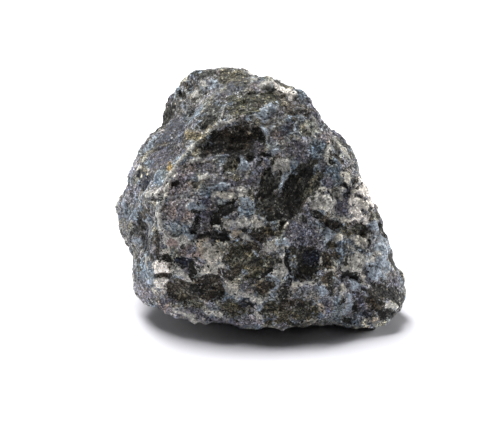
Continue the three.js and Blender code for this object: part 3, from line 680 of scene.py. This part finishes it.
# Creases: lines along which the broken face steps back, as seen in the picture. The lower side is to the
# right, going from the first point to the last, and a lip stands out along the other.
CREASES = (
    # points, drop, reach, lip
    (((-19.7, 4.6), (-17.6, 7.5), (-15.6, 10), (-13.5, 12.5), (-11.4, 14.7), (-10.4, 16.4)), 0.8, 2.5, 0.35),
    (((-10.4, 15.2), (-9.6, 16.4), (-8.3, 17.8), (-6.6, 19), (-4.6, 19.8), (-2.6, 20.3)), 1.5, 4, 0.5),
    (((-3.6, 20.1), (-1.5, 20.3), (1.2, 19.6), (3.3, 17.6)), 1.4, 4, 0.12),
    (((-19.7, -11.6), (-17, -11.8), (-14.9, -13.1), (-11.2, -13.7)), 0.7, 3, 0.2),
    (((-11, -11.8), (-7.1, -11.8), (-5, -13.1)), 0.7, 3, 0.2),
    (((-5, -13.1), (-2.1, -15.2), (1.2, -16.4), (2.5, -17)), 0.5, 2.5, 0.15),
    (((-5.8, -2.1), (-3.1, -2.1), (0, -1.7), (2.5, -1.7), (6.2, -0.6), (8.7, -0.8)), 0.6, 2.5, 0.2),
    (((-10.4, 3.1), (-7.9, 2.3), (-5.8, 3.7), (-3.1, 3.9)), 0.5, 3, 0.1),
    (((11.6, 2.3), (14.5, 1), (17, -0.2), (20.3, -0.8), (23.3, -0.8), (25.7, -2.1)), 0.8, 2.5, 0.2),
    (((7.1, -6.2), (9.6, -5.8), (12, -6), (14.5, -6.4)), 0.5, 3, 0.1),
    (((14.5, 11.4), (12.9, 6.9), (11.6, 3.3), (10.4, 1.2)), 0.5, 3, 0.1),
    (((27.8, -18.7), (29.9, -19.1), (31.6, -18.9)), 0.4, 2, 0.1),
    (((-16.6, 7.9), (-18.7, 3.7), (-19.9, -1.5), (-20.6, -6.6), (-20.3, -11.8)), 0.5, 5, 0.1),
)
CREASE_EDGE = 0.15
LIP_WIDTH = 0.4
CREASE_ENDS = (-0.5, 1.5)

# The rims are worn pale and carry a painted highlight: palest from this lip on, and with less dark mineral
PALE_RIM_LIP = 0.35
RIM_WEAR_AND_HIGHLIGHT = 0.6
RIM_DARK_CUT = 0.9

# How far the fine surface can stand out of the solid's box, as a share of its size
BOX_SHARE = 0.012


def flatten(stone, cells, share, lean, step, seed):
    """Draws the points of each cell towards a plane of its own."""
    grains, number = np.unique(cells, axis=0, return_inverse=True)
    number = number.reshape(-1)
    middle = averaged(stone.points, number, len(grains))
    out = of_length_one(averaged(stone.normals, number, len(grains)))
    out = of_length_one(out + lean * random_vectors(grains, seed, LEAN_DRAW))
    above = ((stone.points - middle[number]) * out[number]).sum(axis=1)
    slant = np.maximum((stone.normals * out[number]).sum(axis=1), SLANT_LIMIT)
    move = step * (2 * random_of(grains, seed, STEP_DRAW)[number] - 1) - share * above / slant
    stone.move_out(np.clip(move, -FLAT_LIMIT, FLAT_LIMIT))


def lay_flats(stone):
    """Flats for the patches and, where there are none, for wide grains; then finer ones on top of them."""
    cells = grain_cells(stone.bent, WIDE_FLATS)
    placed = (stone.owner >= 0) & (stone.facing > FRONT[0])
    cells[placed] = FAR_CELL
    cells[placed, 0] += stone.owner[placed]
    flatten(stone, cells, *PATCH_FLATS)
    for packing, share, lean, step in FINE_FLATS:
        flatten(stone, grain_cells(stone.bent, packing), share, lean, step, packing.seed)


def crease_shape(picture, points, drop, reach, lip):
    """What a crease takes away from the face, and what it adds along its upper side."""
    line = np.array(points)
    nearest = np.full(len(picture), np.inf)
    side = inside = np.zeros(len(picture))
    lengths = np.linalg.norm(np.diff(line, axis=0), axis=1)
    before = 0.0
    for start, end, length in zip(line[:-1], line[1:], lengths):
        way = (end - start) / length
        offset = picture[:, :2] - start
        along = offset @ way
        off_end = offset - np.clip(along, 0, length)[:, None] * way
        gap = np.linalg.norm(off_end, axis=1)
        closer = gap < nearest
        nearest = np.where(closer, gap, nearest)
        side = np.where(closer, offset[:, 0] * way[1] - offset[:, 1] * way[0], side)
        inside = np.where(closer, before + along, inside)
        before += length
    fade = smoothstep(*CREASE_ENDS, inside) * smoothstep(*CREASE_ENDS, before - inside)
    below = np.sign(side) * nearest
    step = smoothstep(-CREASE_EDGE, CREASE_EDGE, below) * np.exp(-np.maximum(below, 0) / reach)
    ridge = np.exp(-((below + LIP_WIDTH) / LIP_WIDTH) ** 2)
    return fade * drop * step, fade * lip * ridge


def lay_creases(stone):
    """Steps the face back along its creases, and paints the rims above them paler, as wear and as a painted
    highlight.
    """
    for crease in CREASES:
        drop, lip = crease_shape(stone.bent_picture, *crease)
        stone.move_out(stone.front * (lip - drop))
        # Wear and painted highlight: the rim above a crease gets paler feldspar and less dark mineral
        worn_and_lit = stone.front * np.minimum(lip / PALE_RIM_LIP, 1)
        stone.dark -= RIM_DARK_CUT * worn_and_lit
        stone.colour *= (1 + RIM_WEAR_AND_HIGHLIGHT * worn_and_lit)[:, None]


def crystal_heights(stone):
    """How far each point is moved out by the grooves, the roughness, and the crystal that it is in."""
    height = -GROOVE_DEPTH * stone.front * np.exp(-(stone.edge / GROOVE_WIDTH) ** 2)
    for wavelength, swing, seed in ROUGHNESS:
        height += swing * noise(stone.points, wavelength, seed)
    sinks = DARK_SINKS * smoothstep(-LEVEL, -STEEP, -stone.normals[:, 2])
    sideways = np.cross(stone.run, stone.normals)
    across = (stone.bent * sideways).sum(axis=1) / CLEAVAGE_SPACING
    cleavage = CLEAVAGE_STEP * (across - np.floor(across) - 0.5)
    height += smoothstep(*DARK_STEP, stone.dark) * (cleavage - sinks)
    return height + LIGHT_STANDS * smoothstep(*LIGHT_STEP, stone.light)


def settle(stone):
    """Keeps the stone in the frame's box, and the flat underneath flat."""
    stone.points[stone.resting, 2] = 0
    low, high = (np.array(corner) / MM for corner in SOLID_BOX)
    allowed = BOX_SHARE * (high - low)
    stone.points = np.clip(stone.points, low - allowed, high + allowed)
    stone.points[:, 2] = np.maximum(stone.points[:, 2], 0)


def raise_relief(stone):
    lay_creases(stone)
    lay_flats(stone)
    stone.move_out(crystal_heights(stone))
    settle(stone)


HOLLOW_ROUNDS = 12


def measure_hollows(stone):
    """How far each point lies below the surface around it, in millimetres."""
    links = neighbours_of(stone.triangles)
    evened = stone.points
    stone.hollow = np.zeros(len(evened))
    for _ in range(HOLLOW_ROUNDS):
        evened = around(evened, links)
        stone.hollow += ((evened - stone.points) * stone.normals).sum(axis=1) / HOLLOW_ROUNDS


NUMBERS = ("dark", "light", "hollow", "sparkle")
VECTORS = ("run", "colour", "dark_colour", "light_colour")


def add_attribute(mesh, stone, name, kind, slot):
    attribute = mesh.attributes.new(name, kind, "POINT")
    attribute.data.foreach_set(slot, np.asarray(getattr(stone, name), dtype=np.float32).ravel())


def add_object(name, data):
    thing = bpy.data.objects.new(name, data)
    bpy.context.scene.collection.objects.link(thing)
    return thing


def stone_object(stone, name):
    mesh = bpy.data.meshes.new(name)
    mesh.from_pydata((stone.points * MM).tolist(), [], stone.triangles.tolist())
    mesh.shade_smooth()
    for label in NUMBERS:
        add_attribute(mesh, stone, label, "FLOAT", "value")
    for label in VECTORS:
        add_attribute(mesh, stone, label, "FLOAT_VECTOR", "vector")
    return add_object(name, mesh)


# Materials

class Nodes:
    """A material's nodes. Each call adds some and gives back an output."""

    def __init__(self, name):
        self.material = bpy.data.materials.new(name)
        self.material.use_nodes = True
        self.tree = self.material.node_tree
        self.shader = self.tree.nodes["Principled BSDF"]

    def put(self, socket, value):
        if isinstance(value, bpy.types.NodeSocket):
            self.tree.links.new(value, socket)
        else:
            socket.default_value = value

    def fill(self, node, inputs):
        for key, value in inputs.items():
            self.put(node.inputs[key], value)
        return node

    def add(self, kind, inputs, **settings):
        node = self.tree.nodes.new(kind)
        for key, value in settings.items():
            setattr(node, key, value)
        return self.fill(node, inputs)

    def math(self, operation, *values):
        node = self.add("ShaderNodeMath", {}, operation=operation)
        for socket, value in zip(node.inputs, values):
            self.put(socket, value)
        return node.outputs[0]

    def plus(self, first, *more):
        for value in more:
            first = self.math("ADD", first, value)
        return first

    def minus(self, first, second):
        return self.math("SUBTRACT", first, second)

    def times(self, first, *more):
        for value in more:
            first = self.math("MULTIPLY", first, value)
        return first

    def doublings(self, value):
        return self.math("POWER", 2.0, value)

    def vector(self, operation, *values):
        node = self.add("ShaderNodeVectorMath", {}, operation=operation)
        for socket, value in zip(node.inputs, values):
            self.put(socket, value)
        return node.outputs["Value" if operation == "DOT_PRODUCT" else "Vector"]

    def scaled(self, vector, factor):
        node = self.add("ShaderNodeVectorMath", {"Vector": vector, "Scale": factor}, operation="SCALE")
        return node.outputs["Vector"]

    def noise(self, at, wavelength, detail, roughness=0.6):
        inputs = {"Vector": at, "Scale": 1 / wavelength, "Detail": detail, "Roughness": roughness}
        return self.add("ShaderNodeTexNoise", inputs).outputs[0]

    def cells(self, at, size):
        """Distance from the cell's middle, and its three random numbers: one by one, and as a vector."""
        node = self.add("ShaderNodeTexVoronoi", {"Vector": at, "Scale": 1 / size})
        parts = self.add("ShaderNodeSeparateXYZ", {"Vector": node.outputs["Color"]})
        return node.outputs["Distance"], parts.outputs, node.outputs["Color"]

    def attribute(self, name, output):
        return self.add("ShaderNodeAttribute", {}, attribute_name=name).outputs[output]

    def ramp(self, value, low, high):
        inputs = {"Value": value, "From Min": low, "From Max": high}
        return self.add("ShaderNodeMapRange", inputs, interpolation_type="SMOOTHSTEP").outputs[0]

    def mix(self, share, first, second):
        node = self.add("ShaderNodeMix", {}, data_type="RGBA")
        self.put(node.inputs["Factor"], share)
        for key, value in (("A", first), ("B", second)):
            socket = next(s for s in node.inputs if s.name == key and s.type == "RGBA")
            self.put(socket, value)
        return next(s for s in node.outputs if s.type == "RGBA")

    def about_half(self, value, strength):
        """A number near a half, as a number near 0."""
        return self.times(self.minus(value, 0.5), strength)

    def vector_about_half(self, vector, strength):
        return self.scaled(self.vector("SUBTRACT", vector, (0.5, 0.5, 0.5)), strength)

    def burst(self, value, power, strength):
        """An even random number, as one mostly near 0 and seldom near the strength or minus it."""
        spread = self.about_half(value, 2.0)
        return self.times(self.math("POWER", self.math("ABSOLUTE", spread), power - 1), spread, strength)


# The fine grain: how it is bent, its noises by wavelength, detail and roughness, and its cells by size
BEND_SCALE = 1.1
BEND = 0.55
NOISES = {"coarse": (1.6, 1.0), "fine": (0.55, 3.0, 0.8)}
CELL_SIZES = {"grain": 0.95, "sugar": 0.44, "dust": 0.29}

# How much each part of it moves the brightness of a mineral, in doublings
FELDSPAR_SWING = {"fine": 2.7, "dust 0": 3.2, "sugar 0": 1.3, "grain 0": 0.6, "coarse": 0.6}
LIGHT_SWING = {"fine": 1.6, "dust 1": 1.6, "sugar 1": 0.8, "coarse": 0.6}
DARK_SWING = {"streak": 8.0, "fine": 2.0, "dust 2": 3.8, "sugar 1": 1.6}
DARK_SHIFT = -0.25

# Single grains lean to blue or to yellow; dark crystals are a little warmer than their colour
LEAN_WAY = (-1.0, -0.1, 1.2)
LEAN_SWING = {"grain 2": 0.20, "sugar 2": 0.10}
DARK_WARMTH = (1.02, 1.0, 0.96)

# Streaks along the dark crystals, and the pale flecks on them
STREAK_STRETCH = 0.93
STREAK_NOISE = (0.38, 2.0, 0.7)
FLECK_SWING = {"dust 1": 0.40, "sugar 0": 0.20, "fine": 0.3}
FLECK_EDGE = (0.72, 0.80)
FLECK_STRENGTH = 0.5
FLECK_COLOUR = (150, 147, 139)

# Ragged borders between minerals, and how soft they are
RAGGED_SWING = {"fine": 1.1, "coarse": 1.1}
GRAIN_BURST = (3, 0.8)
SUGAR_BURST = (9, 1.3)
DARK_BORDER = 0.12
LIGHT_BORDER = 0.35

# Painted shade darkens hollows and painted light brightens what stands out: doublings for each millimetre,
# and the most
HOLLOW_PAINTED_SHADE = -2.0
PAINTED_LIGHT_LIMIT = 1.8

# Glints: cleavage faces a grain or less across, glossier and with a painted highlight in the colour. Their
# radius and edge are in cells.
GLINT_SIZE = 0.48
GLINT_SELDOM = 1.14
GLINT_FIELD = 5.0
GLINT_CHANGE = 0.4
SPARKLE_MORE = 0.10
GLINT_ONSET = 0.03
GLINT_RADIUS = 0.45
GLINT_EDGE = 0.12
GLINT_STRENGTH = 0.75
DARK_GLINT_LOSS = 0.6
PAINTED_GLINT_COLOUR = (205, 205, 202)

# Gloss, the lean of single grains, and the height of the fine grain in millimetres
SPECULAR = 0.2
ROUGH = 0.5
ROUGH_SWING = 0.3
GLINT_GLOSS = 0.25
GRAIN_LEAN = {"sugar": 0.55, "dust": 0.45}
LIGHT_CALM = 0.5
FINE_HEIGHT = 0.30
COARSE_HEIGHT = 0.35
STREAK_HEIGHT = 0.18
DARK_DEPTH = 0.10


def fine_grain(n):
    """Places in millimetres, straight and bent, and the parts of the fine grain by name."""
    straight = n.scaled(n.add("ShaderNodeTexCoord", {}).outputs["Object"], 1 / MM)
    waves = n.add("ShaderNodeTexNoise", {"Vector": straight, "Scale": BEND_SCALE, "Detail": 1.0}).outputs[1]
    bent = n.vector("ADD", straight, n.vector_about_half(waves, BEND))
    parts = {name: n.noise(bent, *numbers) for name, numbers in NOISES.items()}
    for name, size in CELL_SIZES.items():
        _, numbers, parts[name] = n.cells(bent, size)
        for place, number in enumerate(numbers):
            parts["%s %d" % (name, place)] = number
    return straight, bent, parts


def swing(n, parts, strengths):
    return n.plus(*(n.about_half(parts[name], strength) for name, strength in strengths.items()))


def add_streaks(n, straight, parts):
    run = n.attribute("run", "Vector")
    along = n.vector("DOT_PRODUCT", straight, run)
    squeezed = n.vector("SUBTRACT", straight, n.scaled(run, n.times(along, STREAK_STRETCH)))
    parts["streak"] = n.noise(squeezed, *STREAK_NOISE)


def mineral_colours(n, parts):
    """Feldspar of small grains that lean to blue or yellow, calmer light crystals, and streaked dark ones."""
    lean = n.scaled(LEAN_WAY, swing(n, parts, LEAN_SWING))
    feldspar = n.scaled(n.attribute("colour", "Vector"), n.doublings(swing(n, parts, FELDSPAR_SWING)))
    feldspar = n.vector("MULTIPLY", feldspar, n.vector("ADD", (1.0, 1.0, 1.0), lean))
    light = n.scaled(n.attribute("light_colour", "Vector"), n.doublings(swing(n, parts, LIGHT_SWING)))
    dark_swing = n.plus(swing(n, parts, DARK_SWING), DARK_SHIFT)
    dark = n.scaled(n.attribute("dark_colour", "Vector"), n.doublings(dark_swing))
    dark = n.vector("MULTIPLY", dark, n.vector("ADD", DARK_WARMTH, lean))
    fleck = n.ramp(n.plus(parts["streak"], swing(n, parts, FLECK_SWING)), *FLECK_EDGE)
    dark = n.mix(n.times(fleck, FLECK_STRENGTH), dark, (*linear(FLECK_COLOUR), 1))
    return feldspar, light, dark


def borders(n, parts):
    """Where the dark and where the light crystals are."""
    ragged = n.plus(swing(n, parts, RAGGED_SWING), n.burst(parts["grain 1"], *GRAIN_BURST))
    is_light = n.ramp(n.plus(n.attribute("light", "Fac"), ragged), -LIGHT_BORDER, LIGHT_BORDER)
    more_ragged = n.plus(ragged, n.burst(parts["sugar 2"], *SUGAR_BURST))
    is_dark = n.ramp(n.plus(n.attribute("dark", "Fac"), more_ragged), -DARK_BORDER, DARK_BORDER)
    return is_dark, is_light


def glints(n, straight, bent, is_dark):
    from_middle, chance, _ = n.cells(bent, GLINT_SIZE)
    seldom = n.minus(GLINT_SELDOM, n.times(n.noise(straight, GLINT_FIELD, 1.0), GLINT_CHANGE))
    seldom = n.minus(seldom, n.times(n.attribute("sparkle", "Fac"), SPARKLE_MORE))
    happens = n.ramp(n.minus(chance[0], seldom), 0.0, GLINT_ONSET)
    inside = n.ramp(n.minus(GLINT_RADIUS, from_middle), 0.0, GLINT_EDGE)
    not_dark = n.minus(1.0, n.times(is_dark, DARK_GLINT_LOSS))
    return n.times(happens, GLINT_STRENGTH, inside, not_dark)


def fine_normal(n, parts, is_dark, is_light):
    """Single grains lean, and the fine grain is rough."""
    tilt = n.vector("ADD", *(n.vector_about_half(parts[name], lean) for name, lean in GRAIN_LEAN.items()))
    tilt = n.scaled(tilt, n.minus(1.0, n.times(is_light, LIGHT_CALM)))
    normal = n.add("ShaderNodeNewGeometry", {}).outputs["Normal"]
    tilted = n.vector("NORMALIZE", n.vector("ADD", normal, tilt))
    height = n.plus(
        n.times(parts["fine"], FINE_HEIGHT), n.times(parts["coarse"], COARSE_HEIGHT),
        n.times(parts["streak"], is_dark, STREAK_HEIGHT), n.times(is_dark, -DARK_DEPTH))
    inputs = {"Height": height, "Distance": MM, "Strength": 1.0, "Normal": tilted}
    return n.add("ShaderNodeBump", inputs).outputs[0]


def gabbro_material():
    n = Nodes("gabbro")
    straight, bent, parts = fine_grain(n)
    add_streaks(n, straight, parts)
    feldspar, light, dark = mineral_colours(n, parts)
    is_dark, is_light = borders(n, parts)
    colour = n.mix(is_dark, n.mix(is_light, feldspar, light), dark)
    # Painted shade in the hollows, and painted highlight on what stands out
    hollow_shading = n.doublings(n.times(n.attribute("hollow", "Fac"), HOLLOW_PAINTED_SHADE))
    colour = n.scaled(colour, n.math("MINIMUM", hollow_shading, PAINTED_LIGHT_LIMIT))
    # Painted highlight: the glints are pale specks painted into the colour
    glint = glints(n, straight, bent, is_dark)
    colour = n.mix(glint, colour, (*linear(PAINTED_GLINT_COLOUR), 1))
    roughness = n.plus(ROUGH, n.about_half(parts["sugar 1"], ROUGH_SWING), n.times(glint, -GLINT_GLOSS))
    n.fill(n.shader, {
        "Base Color": colour, "Roughness": roughness, "Specular IOR Level": SPECULAR,
        "Normal": fine_normal(n, parts, is_dark, is_light),
    })
    return n.material


# Stage: floor, light and camera, in metres

FLOOR_HALF = 3.0
FLOOR_COLOUR = (0.74, 0.74, 0.78, 1)
FLOOR_ROUGHNESS = 0.7
SKY_STRENGTH = 0.052
LAMPS = (
    # name, place, side, power
    ("top_box", (-0.13, 0.19, 0.55), 0.40, 8.4),
    ("left_box", (-0.53, 0.20, 0.13), 0.22, 0.9),
    ("right_box", (0.53, 0.22, 0.15), 0.22, 2.7),
)
LAMP_TARGET = (0, 0, 0.02)
CLIPS = (0.01, 20)


def add_floor():
    corners = [(x * FLOOR_HALF, y * FLOOR_HALF, 0) for x, y in ((-1, -1), (1, -1), (1, 1), (-1, 1))]
    mesh = bpy.data.meshes.new("floor")
    mesh.from_pydata(corners, [], [(0, 1, 2, 3)])
    n = Nodes("floor")
    n.fill(n.shader, {"Base Color": FLOOR_COLOUR, "Roughness": FLOOR_ROUGHNESS})
    mesh.materials.append(n.material)
    floor = add_object("floor", mesh)


def aim(thing, target):
    way = Vector(target) - thing.location
    thing.rotation_mode = "QUATERNION"
    thing.rotation_quaternion = way.to_track_quat("-Z", "Y")


def add_light():
    for name, place, side, power in LAMPS:
        lamp = bpy.data.lights.new(name, "AREA")
        lamp.size = side
        lamp.energy = power
        thing = add_object(name, lamp)
        thing.location = place
        aim(thing, LAMP_TARGET)
    world = bpy.data.worlds.new("studio")
    world.use_nodes = True
    background = world.node_tree.nodes["Background"]
    background.inputs["Color"].default_value = (1, 1, 1, 1)
    background.inputs["Strength"].default_value = SKY_STRENGTH
    bpy.context.scene.world = world


def add_camera():
    camera = bpy.data.cameras.new("camera")
    camera.sensor_width = SENSOR_WIDTH
    camera.lens = SENSOR_WIDTH * VIEW_DISTANCE / PICTURE_WIDTH
    camera.clip_start, camera.clip_end = CLIPS
    thing = add_object("camera", camera)
    thing.location = Vector(EYE * MM)
    aim(thing, VIEW_TARGET * MM)
    bpy.context.scene.camera = thing
    bpy.context.scene.view_settings.view_transform = "Standard"


add_camera()
add_floor()
add_light()

fine_stone = Stone("stone")
lay_crystals(fine_stone)
shade_upward_faces(fine_stone)
lay_sparkle(fine_stone)
raise_relief(fine_stone)
measure_hollows(fine_stone)
piece = stone_object(fine_stone, "gabbro_surface")
piece.data.materials.append(gabbro_material())
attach(piece, "root")
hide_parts("stone")
